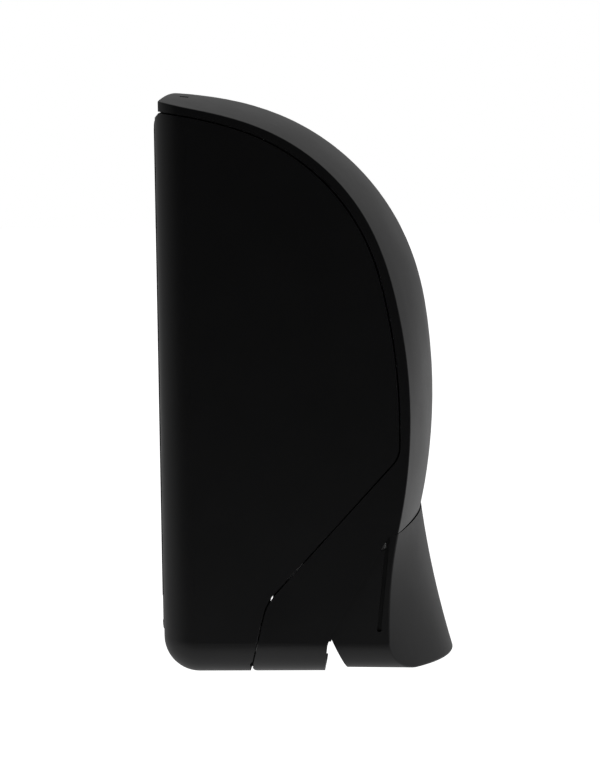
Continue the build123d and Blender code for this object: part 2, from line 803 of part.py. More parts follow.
# ---- latch ----
guide_front = key_slot_centre + latch_nose / 2 + latch_gap + guide_wall
slider_bottom = guide_top - guide_rise
spring_seat = guide_bottom + 2.0
boss_half = 6.0
slide_gap = 0.3
ear_thickness = 2.5
slider_half = boss_half + 3.0
with BuildPart() as latch_guide:
    with BuildSketch(plan(guide_top)):
        with Locations((0, (inner_rear + guide_front) / 2)):
            RectangleRounded(2 * (latch_half_width - 8), guide_front - inner_rear, 1.5)
    extrude(amount=guide_height)
    with BuildSketch(plan(guide_top)):
        with Locations((0, key_slot_centre)):
            Rectangle(2 * (slider_half + slide_gap), latch_nose + 2 * slide_gap)
    extrude(amount=guide_top - slider_bottom + 0.5, mode=Mode.SUBTRACT)
    with BuildSketch(plan(slider_bottom)):
        with Locations((0, key_slot_centre)):
            Circle(latch_coil_radius)
    extrude(amount=slider_bottom - spring_seat, mode=Mode.SUBTRACT)
    with BuildSketch(upright(inner_rear)):
        with Locations((0, guide_screw_height)):
            Rectangle(2 * (guide_screw_x + 5), guide_ear)
    extrude(amount=ear_thickness)
    with BuildSketch(upright(0)):
        with Locations(*guide_screw_places):
            Circle(screw_radius)
    extrude(amount=inner_rear + ear_thickness + 1, mode=Mode.SUBTRACT)
finish(latch_guide.part, "latch_guide")
pan_screws(guide_screw_places, inner_rear + ear_thickness, ear_thickness + back_wall, "latch_guide_screws")

with BuildPart() as latch_slider:
    with BuildSketch(upright(key_slot_centre - latch_nose / 2)):
        with Locations((0, (slider_bottom + guide_top) / 2)):
            Rectangle(2 * slider_half, guide_top - slider_bottom + 1)
        with Locations((0, (guide_top + latch_travel + nose_top) / 2 - 1)):
            Rectangle(2 * latch_half_width, nose_top - guide_top - latch_travel + 2)
        with Locations((0, guide_top + 2)):
            Rectangle(2 * slider_half, 6)
    extrude(amount=latch_nose)
    fillet(latch_slider.edges().filter_by(Axis.X).group_by(Axis.Z)[-1], radius=0.8)
    with BuildSketch(plan(slider_bottom)):
        with Locations((0, key_slot_centre)):
            Circle(1.6)
    extrude(amount=3.5)
finish(latch_slider.part, "latch_slider")
coil_spring(
    latch_coil_radius - latch_wire - 0.25,
    latch_wire,
    spring_seat,
    slider_bottom - 0.3,
    5,
    0,
    key_slot_centre,
    "latch_spring",
)

# ---- lever axle ----
with BuildPart() as lever_axle:
    with BuildSketch(side_plane):
        with Locations(pivot):
            Circle(axle_radius)
    extrude(amount=lever_half - 0.2, both=True)
    chamfer(lever_axle.edges().filter_by(GeomType.CIRCLE), length=0.4)
finish(lever_axle.part, "lever_axle")


# ---- push lever ----
def paddle_block(inset):
    """Solid behind the paddle's crowned and flared front face."""
    top = seam_level + 12.0
    bottom = -4.0
    rear = 40.0
    with BuildPart() as block:
        for step in range(7):
            height = bottom + step * (top - bottom) / 6
            fall = seam_level - height
            middle = paddle_front_top + paddle_lean * fall + paddle_flare * fall * fall
            waist = max(height - paddle_edge_waist, 0.0)
            rise = middle - paddle_edge_depth - paddle_edge_curve * waist * waist
            bend = (rise * rise + lever_half * lever_half) / (2 * rise)
            side = lever_half - inset
            edge = middle - bend + sqrt((bend - inset) ** 2 - side * side)
            with BuildSketch(plan(height)):
                with BuildLine():
                    ThreePointArc((-side, edge), (0, middle - inset), (side, edge))
                    Polyline((side, edge), (side, rear), (-side, rear), (-side, edge))
                make_face()
        loft()
    return block.part


def lever_side(inset):
    """Side view of the lever; with an inset it is open at the top and rear."""
    front = body_depth + beyond
    rise = seam_front_slope * (front - seam_side[0])
    corner = 4.0  # the cheek's top turns this far in front of the seam's corner
    over = seam_height - lever_gap + (12.0 if inset else 0.0)
    behind = beyond if inset else 0.0
    heel_depth = body_depth - lever_heel_back
    with BuildSketch(Plane.XY) as outline:
        with BuildLine():
            Polyline(
                (front, over + rise),
                (seam_side[0] + corner, over + corner * seam_front_slope),
                (seam_side[0] - lever_tuck - 3 - behind, over),
                (notch_apex[0] - lever_tuck - behind, notch_apex_height + 2),
                (notch_apex[0] - behind, notch_apex_height - 2),
                (heel_depth - behind, lever_heel_height + inset),
                (front, lever_toe_height + inset),
                (front, over + rise),
            )
        make_face()
    return outline.sketch


groove_foot = Vector(body_depth - groove_foot_back, groove_foot_height)
groove_head = Vector(seam_side[0] + 0.4, seam_height + groove_head_rise)
groove_middle = tuple((groove_foot + groove_head) / 2)[:2]
groove_run = (groove_head - groove_foot).length
groove_lean = degrees(atan2(groove_head.Y - groove_foot.Y, groove_head.X - groove_foot.X))

yoke_screw_length = 10.0
boss_x = 22.0
boss_radius = 3.5
boss_depth = paddle_edge_depth - 6.0
yoke_bottom = yoke_top - yoke_thickness
yoke_screw_places = [(-boss_x, boss_depth - 4), (boss_x, boss_depth - 4)]
with BuildPart() as lever_core:
    with BuildSketch(side_plane):
        add(lever_side(skin))
    extrude(amount=lever_half - skin, both=True)
    fillet(lever_core.faces().sort_by(Axis.Z)[0].edges().filter_by(
        lambda e: abs(abs(e.center().X) - lever_half + skin) < 0.05
    ), radius=lever_under_radius - skin)
    add(paddle_block(skin), mode=Mode.INTERSECT)

with BuildPart() as lever_bosses:
    for x in (-boss_x, boss_x):
        with BuildSketch(plan(yoke_bottom)):
            with Locations((x, boss_depth + 8)):
                Rectangle(2 * boss_radius, 40)
        extrude(amount=14)
    add(paddle_block(0.6), mode=Mode.INTERSECT)
    with BuildSketch(side_plane):
        with Locations((boss_depth + 20, yoke_bottom - 7)):
            Rectangle(53, 20)
    extrude(amount=half, both=True, mode=Mode.INTERSECT)

with BuildPart() as push_lever:
    with BuildSketch(side_plane):
        add(lever_side(0.0))
    extrude(amount=lever_half, both=True)
    fillet(push_lever.faces().sort_by(Axis.Z)[0].edges().filter_by(
        lambda e: abs(abs(e.center().X) - lever_half) < 0.05
    ), radius=lever_under_radius)
    add(paddle_block(0.0), mode=Mode.INTERSECT)
    toe = push_lever.edges().filter_by(
        lambda e: e.center().Y < -paddle_edge_depth - 0.5 and e.center().Z < seam_height - mount_height - 20
    )
    fillet(toe, radius=lever_edge_round)
    add(lever_core.part, mode=Mode.SUBTRACT)
    add(lever_bosses.part)
    with Locations(*[(x, -depth, yoke_bottom - mount_height) for x, depth in yoke_screw_places]):
        Cylinder(screw_radius, yoke_screw_length, align=HANG, mode=Mode.SUBTRACT)
    # groove between the cheek and the paddle's side return, open at the top
    for x in (lever_half + 1, -lever_half + cheek_groove_depth):
        with BuildSketch(across(x)):
            with Locations(Location((*groove_middle, 0), (0, 0, groove_lean))):
                SlotCenterToCenter(groove_run, cheek_groove_width)
        extrude(amount=cheek_groove_depth + 1, mode=Mode.SUBTRACT)
    with BuildSketch(side_plane):
        with Locations(pivot):
            Circle(axle_radius + pin_clearance)
    extrude(amount=lever_half + 1, both=True, mode=Mode.SUBTRACT)
finish(push_lever.part, "push_lever")

# ---- lever yoke: fork under the pump, screwed to the lever's bosses ----
yoke_front = boss_depth + 6.0
head_rear = pump_depth + 22.0
tine_front = pump_depth + 30.0
tine_rear = pump_depth - fork_back
with BuildPart() as lever_yoke:
    with BuildSketch(plan(yoke_top)):
        with Locations((0, (head_rear + yoke_front) / 2)):
            RectangleRounded(2 * (boss_x + 6), yoke_front - head_rear, 3)
        with Locations((0, (tine_rear + tine_front) / 2)):
            RectangleRounded(2 * fork_half_width, tine_front - tine_rear, 3)
        with Locations(pump_axis):
            Circle(fork_slot, mode=Mode.SUBTRACT)
        with Locations((0, pump_depth - 20)):
            Rectangle(2 * fork_slot, 40, mode=Mode.SUBTRACT)
        with Locations(*yoke_screw_places):
            Circle(screw_radius, mode=Mode.SUBTRACT)
    extrude(amount=yoke_thickness)
    # stiffening ribs under the tines
    for x in (fork_half_width, -fork_half_width + rib_thickness):
        with BuildSketch(across(x)):
            with BuildLine():
                Polyline(
                    (tine_rear + 3, yoke_bottom),
                    (yoke_front - 8, yoke_bottom),
                    (yoke_front - 8, yoke_bottom - rib_depth),
                    (pump_depth + 8, yoke_bottom - rib_depth),
                    (tine_rear + 3, yoke_bottom - 2),
                    (tine_rear + 3, yoke_bottom),
                )
            make_face()
        extrude(amount=rib_thickness)
    # round noses on the tines, on the pump's axis
    for x in (actuator_radius, -fork_slot):
        with BuildSketch(across(x)):
            with Locations((pump_depth, yoke_top + nose_rise - nose_radius)):
                Circle(nose_radius)
            with Locations((pump_depth, yoke_top + (nose_rise - nose_radius) / 2 - 0.5)):
                Rectangle(2 * nose_radius, nose_rise - nose_radius + 1)
        extrude(amount=actuator_radius - fork_slot)
finish(lever_yoke.part, "lever_yoke")

with BuildPart() as yoke_screws:
    with BuildSketch(plan(yoke_top + screw_head)):
        with Locations(*yoke_screw_places):
            Circle(screw_head_radius)
    extrude(amount=screw_head)
    fillet(yoke_screws.faces().sort_by(Axis.Z)[-2:].edges(), radius=head_round)
    with BuildSketch(plan(yoke_top)):
        with Locations(*yoke_screw_places):
            Circle(screw_radius - thread_clearance)
    extrude(amount=yoke_thickness + yoke_screw_length - 1.0)
    with BuildSketch(plan(yoke_top + screw_head)):
        with Locations(*yoke_screw_places):
            Rectangle(2 * drive_size, drive_width)
            Rectangle(drive_width, 2 * drive_size)
    extrude(amount=drive_depth, mode=Mode.SUBTRACT)
finish(yoke_screws.part, "yoke_screws")
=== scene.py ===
import json
import math

import bmesh
import bpy
from bpy.props import FloatProperty, FloatVectorProperty, PointerProperty
from mathutils import Matrix, Vector
from mathutils.bvhtree import BVHTree


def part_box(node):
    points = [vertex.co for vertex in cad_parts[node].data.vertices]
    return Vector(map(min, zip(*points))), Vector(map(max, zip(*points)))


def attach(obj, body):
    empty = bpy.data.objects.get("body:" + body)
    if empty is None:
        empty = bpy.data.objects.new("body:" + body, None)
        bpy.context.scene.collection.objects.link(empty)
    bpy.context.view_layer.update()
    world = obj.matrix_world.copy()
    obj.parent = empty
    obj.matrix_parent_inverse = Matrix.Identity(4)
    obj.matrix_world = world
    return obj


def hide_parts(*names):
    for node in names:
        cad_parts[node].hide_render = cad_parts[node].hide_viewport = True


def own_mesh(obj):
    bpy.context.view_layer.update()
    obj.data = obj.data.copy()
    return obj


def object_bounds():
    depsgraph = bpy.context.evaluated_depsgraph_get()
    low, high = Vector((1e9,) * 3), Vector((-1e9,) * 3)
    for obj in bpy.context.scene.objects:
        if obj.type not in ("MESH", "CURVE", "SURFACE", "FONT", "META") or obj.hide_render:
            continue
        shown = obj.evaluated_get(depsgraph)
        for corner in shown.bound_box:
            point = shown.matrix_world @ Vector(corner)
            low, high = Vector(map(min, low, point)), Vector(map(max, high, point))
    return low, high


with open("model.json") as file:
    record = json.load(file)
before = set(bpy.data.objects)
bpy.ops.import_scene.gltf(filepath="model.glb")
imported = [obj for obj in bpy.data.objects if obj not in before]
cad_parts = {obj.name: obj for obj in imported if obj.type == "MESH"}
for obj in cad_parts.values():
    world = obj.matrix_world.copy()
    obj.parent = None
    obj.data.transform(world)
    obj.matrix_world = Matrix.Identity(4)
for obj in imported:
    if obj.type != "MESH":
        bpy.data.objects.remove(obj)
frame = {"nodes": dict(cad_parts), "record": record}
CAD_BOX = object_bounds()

bl_info = {
    "name": "Wall Soap Dispenser Finishes",
    "version": (1, 0, 0),
    "blender": (4, 5, 0),
    "location": "View3D > Sidebar > Dispenser",
    "description": "Finishes for a wall soap dispenser, its refill's contents, its pump spring and a studio",
    "category": "Object",
}

MM = 0.001
# from the box's front lower corner to the point that the camera looks at
CAMERA_AIM_BACK = 72.9 * MM
CAMERA_AIM_UP = 130.7 * MM
# each light's place from the middle of the object, its width and its height
KEY_LIGHT = (Vector((-0.1, -1.6, 0.45)), 1.6, 1.2)
RIM_LIGHT = (Vector((-0.7, 1.3, 0.1)), 0.35, 1.3)
TOP_LIGHT = (Vector((0.0, 0.0, 1.6)), 1.4, 1.4)
BOTTLE_FLOOR_RISE = 16 * MM  # bracket's top to the inside of the bottle's floor
LABEL_DROP = 10 * MM  # label's middle below the middle of the bottle's body
LABEL_CORNER = 5 * MM
DUST_COLOUR = (0.35, 0.34, 0.32, 1.0)
SLOT_COLOURS = {slot["slot"]: slot["base_color"][:3] for slot in frame["record"]["materials"]}

SHELL_FINISHES = {
    "front_cover": "cover_plastic",
    "rear_housing": "housing_plastic",
    "push_lever": "lever_plastic",
    "wall_plate": "plate_plastic",
}
INSIDE_FINISHES = {
    "refill_bracket": "bracket_plastic",
    "lever_yoke": "bracket_plastic",
    "latch_guide": "bracket_plastic",
    "latch_slider": "latch_plastic",
}
STEEL_FINISHES = {
    "housing_screws": "screw_steel",
    "bracket_screws": "screw_steel",
    "latch_guide_screws": "screw_steel",
    "yoke_screws": "screw_steel",
    "hinge_pins": "bright_steel",
    "lever_axle": "bright_steel",
    "latch_spring": "bright_steel",
    "inlet_ball": "bright_steel",
    "outlet_ball": "bright_steel",
}
PUMP_FINISHES = {
    "bottle_cap": "cap_plastic",
    "pump_cylinder": "pump_plastic",
    "pump_piston": "pump_plastic",
    "pump_nozzle": "pump_plastic",
    "ball_cage": "pump_plastic",
    "neck_gasket": "seal_rubber",
    "piston_seal": "seal_rubber",
}


# ---- settings ----

def colour_setting(name, default, description):
    return FloatVectorProperty(
        name=name, description=description, default=default, subtype="COLOR", size=3, min=0.0, max=1.0
    )


def length_setting(name, default, description):
    return FloatProperty(
        name=name, description=description, default=default, unit="LENGTH", min=0.0, precision=5
    )


def share_setting(name, default, description):
    return FloatProperty(
        name=name, description=description, default=default, subtype="FACTOR", min=0.0, max=1.0
    )


def angle_setting(name, degrees, description):
    return FloatProperty(name=name, description=description, default=math.radians(degrees), subtype="ANGLE")


def power_setting(name, default, description):
    return FloatProperty(name=name, description=description, default=default, unit="POWER", min=0.0)


class ShellSettings(bpy.types.PropertyGroup):
    cover_colour: colour_setting("Cover", SLOT_COLOURS["cover_plastic"], "Colour of the crowned front cover")
    housing_colour: colour_setting("Housing", SLOT_COLOURS["housing_plastic"], "Colour of the rear housing")
    lever_colour: colour_setting("Lever", SLOT_COLOURS["lever_plastic"], "Colour of the push lever")
    plate_colour: colour_setting("Wall plate", SLOT_COLOURS["plate_plastic"], "Colour of the wall plate")
    cover_roughness: share_setting("Cover roughness", 0.36, "Mean roughness of the satin cover")
    housing_roughness: share_setting("Housing roughness", 0.44, "Mean roughness of the matte housing")
    lever_roughness: share_setting("Lever roughness", 0.42, "Mean roughness of the push lever")
    grain_size: length_setting("Grain size", 0.45 * MM, "Distance between the bumps of the mould's grain")
    grain_depth: share_setting("Grain depth", 0.16, "How strongly the mould's grain shows")
    # these two settings also set the width and strength of the lighter edge colour, a painted highlight as
    # well as wear
    wear_and_highlight_width: length_setting("Wear and highlight width", 0.9 * MM, "Width of the polished line along the edges")
    wear: share_setting("Edge wear and highlight", 0.35, "How much the edges are polished")
    dust: share_setting("Dust", 0.05, "How much dust lies on the faces that look up")


class InsideSettings(bpy.types.PropertyGroup):
    bracket_colour: colour_setting("Bracket", SLOT_COLOURS["bracket_plastic"], "Colour of the inner frame")
    latch_colour: colour_setting("Latch", SLOT_COLOURS["latch_plastic"], "Colour of the latch slider")
    roughness: share_setting("Roughness", 0.5, "Mean roughness of the inner parts")


class SteelSettings(bpy.types.PropertyGroup):
    screw_colour: colour_setting("Screws", SLOT_COLOURS["screw_steel"], "Colour of the zinc plate")
    bright_colour: colour_setting("Pins and springs", SLOT_COLOURS["bright_steel"], "Colour of bright steel")
    roughness: share_setting("Roughness", 0.27, "Mean roughness of the metal")
    line_size: length_setting("Line size", 0.12 * MM, "Distance between the drawing lines")


class RefillSettings(bpy.types.PropertyGroup):
    bottle_colour: colour_setting("Bottle", SLOT_COLOURS["bottle_plastic"], "Colour of the bottle's plastic")
    soap_colour: colour_setting("Soap", (0.42, 0.68, 0.72), "Colour of the liquid soap")
    soap_level: share_setting("Soap level", 0.8, "How full the bottle is")
    soap_gap: length_setting("Soap gap", 0.25 * MM, "Gap between the soap and the bottle's wall")
    label_colour: colour_setting("Label", (0.82, 0.84, 0.84), "Colour of the plain label")
    band_colour: colour_setting("Label band", (0.08, 0.32, 0.42), "Colour of the band along the label's ends")
    label_width: length_setting("Label width", 62 * MM, "Width of the label across the bottle")
    label_height: length_setting("Label height", 74 * MM, "Height of the label")
    label_thickness: length_setting("Label thickness", 0.15 * MM, "Thickness of the label")


class PumpSettings(bpy.types.PropertyGroup):
    cap_colour: colour_setting("Cap", SLOT_COLOURS["cap_plastic"], "Colour of the bottle cap")
    pump_colour: colour_setting("Pump", SLOT_COLOURS["pump_plastic"], "Colour of the pump's plastic")
    seal_colour: colour_setting("Seals", SLOT_COLOURS["seal_rubber"], "Colour of the rubber seals")
    spring_wire: length_setting("Spring wire", 1.0 * MM, "Diameter of the pump spring's wire")
    spring_turns: FloatProperty(
        name="Spring turns", description="Turns of the pump spring", default=7.0, min=2.0
    )
    spring_keep: share_setting("Spring at full stroke", 0.655, "Length at full stroke over free length")


class StageSettings(bpy.types.PropertyGroup):
    floor_colour: colour_setting("Floor", (0.86, 0.86, 0.86), "Colour of the plain floor")
    floor_drop: length_setting("Floor drop", 0.24, "Height of the object's lowest point above the floor")
    floor_near: length_setting("Floor at the near side", 0.6, "How far the floor runs towards the camera")
    floor_far: length_setting("Floor at the far side", 6.0, "How far the floor runs behind the object")
    floor_glow: FloatProperty(
        name="Floor glow",
        description="Brightness that the camera sees in the floor, as in a lit studio sweep",
        default=1.05,
        min=0.0,
    )
    floor_bounce: share_setting("Floor bounce", 0.35, "Light that the floor sends up to the object")
    camera_distance: length_setting("Camera distance", 1.6, "Distance from the camera to its target")
    camera_turn: angle_setting("Camera turn", 3.0, "How far the camera stands towards the front")
    camera_rise: angle_setting("Camera rise", 7.0, "How far the camera stands above the horizon")
    camera_roll: angle_setting("Camera roll", -0.78, "How far the camera leans")
    camera_lens: FloatProperty(
        name="Lens",
        description="Focal length in millimetres",
        default=154.3,
        subtype="DISTANCE_CAMERA",
        min=1.0,
    )
    key_power: power_setting("Key light", 3.0, "Power of the large soft light in front")
    rim_power: power_setting("Rim light", 0.1, "Power of the soft light at the wall side")
    top_power: power_setting("Top light", 1.6, "Power of the soft light overhead")
    sky_near: share_setting("Sky at the near side", 0.02, "Brightness of the studio at the camera's side")
    sky_far: share_setting("Sky at the far side", 0.35, "Brightness of the studio behind the object")


# ---- node helpers ----

def put(tree, kind, inputs=None, **values):
    """A new node of that kind, with its own properties and its sockets' values set."""
    node = tree.nodes.new(kind)
    for name, value in values.items():
        setattr(node, name, value)
    for name, value in (inputs or {}).items():
        socket = node.inputs[name]
        if isinstance(value, bpy.types.NodeSocket):
            tree.links.new(value, socket)
        else:
            socket.default_value = value
    return node


def calculate(tree, operation, first, second=0.0, clamp=False):
    """The output of a Math node."""
    return put(
        tree, "ShaderNodeMath", {0: first, 1: second}, operation=operation, use_clamp=clamp
    ).outputs["Value"]


def remap(tree, value, low, high, to_low=0.0, to_high=1.0):
    """The output of a smooth Map Range node."""
    limits = {"Value": value, "From Min": low, "From Max": high, "To Min": to_low, "To Max": to_high}
    return put(tree, "ShaderNodeMapRange", limits, interpolation_type="SMOOTHSTEP").outputs["Result"]


def mixed_colour(tree, mask, first, second):
    """The output of a Mix node between two colours."""
    node = put(tree, "ShaderNodeMix", data_type="RGBA")
    for index, value in ((0, mask), (6, first), (7, second)):
        if isinstance(value, bpy.types.NodeSocket):
            tree.links.new(value, node.inputs[index])
        else:
            node.inputs[index].default_value = value
    return node.outputs[2]


def object_place(tree):
    return put(tree, "ShaderNodeTexCoord").outputs["Object"]


def noise(tree, place, scale, detail=3.0, roughness=0.55):
    inputs = {"Vector": place, "Scale": scale, "Detail": detail, "Roughness": roughness}
    return put(tree, "ShaderNodeTexNoise", inputs).outputs["Fac"]


def opaque(colour):
    return (*colour[:3], 1.0)


def new_group(name, inputs, outputs):
    """An empty shader group with those sockets, its input's sockets and its output node."""
    group = bpy.data.node_groups.new(name, "ShaderNodeTree")
    for socket_name, default in inputs.items():
        socket = group.interface.new_socket(name=socket_name, in_out="INPUT", socket_type="NodeSocketFloat")
        socket.default_value = default
    for socket_name in outputs:
        group.interface.new_socket(name=socket_name, in_out="OUTPUT", socket_type="NodeSocketFloat")
    return group, put(group, "NodeGroupInput").outputs, put(group, "NodeGroupOutput").inputs


def use_group(tree, name, **inputs):
    """The outputs of a shared effect, placed in a material with its own values."""
    if name not in bpy.data.node_groups:
        EFFECTS[name]()
    node = put(tree, "ShaderNodeGroup", node_tree=bpy.data.node_groups[name])
    for socket_name, value in inputs.items():
        node.inputs[socket_name.replace("_", " ").capitalize()].default_value = value
    return node.outputs


# ---- shared effects ----

def mould_grain():
    """The fine pitted grain of a spark-eroded mould."""
    group, given, made = new_group("Mould grain", {"Grain size": 0.45 * MM}, ["Height"])
    place = object_place(group)
    scale = calculate(group, "DIVIDE", 1.0, given["Grain size"])
    pits = put(
        group, "ShaderNodeTexVoronoi", {"Vector": place, "Scale": scale}, feature="SMOOTH_F1"
    ).outputs["Distance"]
    cloud = noise(group, place, calculate(group, "MULTIPLY", scale, 0.6), 4.0)
    pitted = calculate(group, "MULTIPLY", pits, 0.6)
    clouded = calculate(group, "MULTIPLY", cloud, 0.7)
    group.links.new(calculate(group, "ADD", pitted, clouded), made["Height"])


def sheen_drift():
    """Roughness that drifts over the surface, as handling and cleaning leave it."""
    group, given, made = new_group(
        "Sheen drift", {"Base": 0.4, "Spread": 0.08, "Patch size": 30 * MM}, ["Roughness"]
    )
    place = object_place(group)
    scale = calculate(group, "DIVIDE", 1.0, given["Patch size"])
    broad = noise(group, place, scale, 2.0)
    fine = noise(group, place, calculate(group, "MULTIPLY", scale, 14.0), 3.0)
    broad_share = calculate(group, "MULTIPLY", broad, 1.4)
    fine_share = calculate(group, "MULTIPLY", fine, 0.6)
    centred = calculate(group, "SUBTRACT", calculate(group, "ADD", broad_share, fine_share), 1.0)
    shift = calculate(group, "MULTIPLY", centred, given["Spread"])
    group.links.new(calculate(group, "ADD", given["Base"], shift, clamp=True), made["Roughness"])


def edge_polish_and_highlight():
    """A mask along the edges, where handling has polished the grain away in patches; the same mask lightens
    the edges' colour as a painted highlight.
    """
    group, given, made = new_group(
        "Edge polish and highlight", {"Width": 0.9 * MM, "Amount": 0.4, "Patch size": 6 * MM}, ["Mask"]
    )
    rounded = put(group, "ShaderNodeBevel", {"Radius": given["Width"]}, samples=6).outputs["Normal"]
    flat = put(group, "ShaderNodeNewGeometry").outputs["Normal"]
    compared = put(group, "ShaderNodeVectorMath", {0: rounded, 1: flat}, operation="DOT_PRODUCT")
    edge = remap(group, calculate(group, "SUBTRACT", 1.0, compared.outputs["Value"]), 0.01, 0.16)
    scale = calculate(group, "DIVIDE", 1.0, given["Patch size"])
    patches = remap(group, noise(group, object_place(group), scale, 4.0), 0.35, 0.65, 0.35, 1.0)
    patchy = calculate(group, "MULTIPLY", edge, patches)
    group.links.new(calculate(group, "MULTIPLY", patchy, given["Amount"], clamp=True), made["Mask"])


def settled_dust():
    """A mask of dust on the faces that look up."""
    group, given, made = new_group("Settled dust", {"Amount": 0.2, "Speck size": 1.5 * MM}, ["Mask"])
    normal = put(group, "ShaderNodeNewGeometry").outputs["Normal"]
    upward = put(group, "ShaderNodeSeparateXYZ", {0: normal}).outputs["Z"]
    place = object_place(group)
    scale = calculate(group, "DIVIDE", 1.0, given["Speck size"])
    specks = remap(group, noise(group, place, scale, 5.0, 0.7), 0.5, 0.72)
    broad = noise(group, place, calculate(group, "MULTIPLY", scale, 0.07), 2.0)
    film = remap(group, broad, 0.3, 0.7, 0.25, 0.8)
    dusty = calculate(group, "MAXIMUM", specks, film)
    settled = calculate(group, "MULTIPLY", dusty, remap(group, upward, 0.25, 0.95))
    group.links.new(calculate(group, "MULTIPLY", settled, given["Amount"], clamp=True), made["Mask"])


def drawn_metal():
    """The fine lines that drawing or turning leaves on metal."""
    group, given, made = new_group(
        "Drawn metal", {"Line size": 0.12 * MM, "Base": 0.27, "Spread": 0.12}, ["Roughness", "Height"]
    )
    stretched = put(
        group, "ShaderNodeMapping", {"Vector": object_place(group), "Scale": (0.06, 1.0, 1.0)}
    ).outputs["Vector"]
    scale = calculate(group, "DIVIDE", 1.0, given["Line size"])
    lines = noise(group, stretched, scale, 3.0)
    shift = calculate(group, "MULTIPLY", calculate(group, "SUBTRACT", lines, 0.5), given["Spread"])
    group.links.new(calculate(group, "ADD", given["Base"], shift, clamp=True), made["Roughness"])
    group.links.new(lines, made["Height"])


def blown_wall():
    """The soft waves and streaks of a blow-moulded wall."""
    group, given, made = new_group("Blown wall", {"Wave size": 14 * MM}, ["Height", "Streaks"])
    place = object_place(group)
    scale = calculate(group, "DIVIDE", 1.0, given["Wave size"])
    waves = noise(group, place, scale, 2.0)
    stretched = put(
        group, "ShaderNodeMapping", {"Vector": place, "Scale": (1.0, 1.0, 0.08)}
    ).outputs["Vector"]
    streaks = noise(group, stretched, calculate(group, "MULTIPLY", scale, 12.0), 3.0)
    group.links.new(waves, made["Height"])
    group.links.new(streaks, made["Streaks"])


EFFECTS = {
    "Mould grain": mould_grain,
    "Sheen drift": sheen_drift,
    "Edge polish and highlight": edge_polish_and_highlight,
    "Settled dust": settled_dust,
    "Drawn metal": drawn_metal,
    "Blown wall": blown_wall,
}


# ---- materials ----

def new_material(name):
    """A new material, its node tree and its shader."""
    material = bpy.data.materials.new(name)
    material.use_nodes = True
    return material, material.node_tree, material.node_tree.nodes["Principled BSDF"]


def raise_surface(tree, shader, height, strength, distance):
    """The height drives a Bump node that feeds the shader's normal."""
    bump = put(tree, "ShaderNodeBump", {"Height": height, "Strength": strength, "Distance": distance})
    tree.links.new(bump.outputs["Normal"], shader.inputs["Normal"])


def moulded_plastic(name, colour, roughness, wear=None, dust=None, spread=0.07, patch=30 * MM):
    """Moulded plastic: grain, drifting sheen, polished edges whose lighter colour is also a painted
    highlight, and a little dust.
    """
    shell = bpy.context.scene.dispenser_shell
    material, tree, shader = new_material(name)
    # the edge mask both polishes the edges and lightens their colour: the lighter edge colour is partly wear
    # and partly a painted highlight
    wear_and_highlight_mask = use_group(
        tree, "Edge polish and highlight", width=shell.wear_and_highlight_width, amount=shell.wear if wear is None else wear
    )["Mask"]
    dust_mask = use_group(tree, "Settled dust", amount=shell.dust if dust is None else dust)["Mask"]
    wear_highlight_colour = [0.02 + 1.5 * channel for channel in colour]
    worn_and_highlit = mixed_colour(tree, wear_and_highlight_mask, opaque(colour), opaque(wear_highlight_colour))
    dusty = mixed_colour(tree, dust_mask, worn_and_highlit, DUST_COLOUR)
    tree.links.new(dusty, shader.inputs["Base Color"])
    sheen = use_group(tree, "Sheen drift", base=roughness, spread=spread, patch_size=patch)["Roughness"]
    polished = calculate(tree, "SUBTRACT", sheen, calculate(tree, "MULTIPLY", wear_and_highlight_mask, 0.12), clamp=True)
    dulled = calculate(tree, "ADD", polished, calculate(tree, "MULTIPLY", dust_mask, 0.4), clamp=True)
    tree.links.new(dulled, shader.inputs["Roughness"])
    grain = use_group(tree, "Mould grain", grain_size=shell.grain_size)["Height"]
    raise_surface(tree, shader, grain, shell.grain_depth, 0.1 * MM)
    shader.inputs["IOR"].default_value = 1.5
    return material


def steel(name, colour):
    """Steel with fine lines along the piece."""
    settings = bpy.context.scene.dispenser_steel
    material, tree, shader = new_material(name)
    lines = use_group(tree, "Drawn metal", line_size=settings.line_size, base=settings.roughness)
    darker = [0.72 * channel for channel in colour]
    stain = remap(tree, noise(tree, object_place(tree), 1 / (3 * MM), 4.0), 0.45, 0.75)
    tree.links.new(mixed_colour(tree, stain, opaque(colour), opaque(darker)), shader.inputs["Base Color"])
    tree.links.new(lines["Roughness"], shader.inputs["Roughness"])
    shader.inputs["Metallic"].default_value = 1.0
    raise_surface(tree, shader, lines["Height"], 0.12, 0.03 * MM)
    return material


def blown_bottle(name, colour):
    """Milky translucent plastic with soft waves."""
    material, tree, shader = new_material(name)
    wall = use_group(tree, "Blown wall")
    duller = [0.86 * channel for channel in colour]
    streaks = remap(tree, wall["Streaks"], 0.4, 0.7)
    tree.links.new(mixed_colour(tree, streaks, opaque(colour), opaque(duller)), shader.inputs["Base Color"])
    sheen = use_group(tree, "Sheen drift", base=0.33, spread=0.08)["Roughness"]
    tree.links.new(sheen, shader.inputs["Roughness"])
    shader.inputs["Transmission Weight"].default_value = 0.55
    shader.inputs["IOR"].default_value = 1.5
    raise_surface(tree, shader, wall["Height"], 0.25, 0.6 * MM)
    return material


def liquid_soap(name, colour):
    """Pearly liquid soap with slow swirls."""
    material, tree, shader = new_material(name)
    waves = {"Vector": object_place(tree), "Scale": 18.0, "Distortion": 9.0, "Detail": 3.0}
    swirl = put(tree, "ShaderNodeTexWave", waves).outputs["Fac"]
    paler = [0.35 + 0.6 * channel for channel in colour]
    pearl = remap(tree, swirl, 0.1, 0.9, 0.0, 0.55)
    tree.links.new(mixed_colour(tree, pearl, opaque(colour), opaque(paler)), shader.inputs["Base Color"])
    sheen = use_group(tree, "Sheen drift", base=0.18, spread=0.05)
    tree.links.new(sheen["Roughness"], shader.inputs["Roughness"])
    shader.inputs["Subsurface Weight"].default_value = 0.25
    shader.inputs["Subsurface Scale"].default_value = 4 * MM
    return material


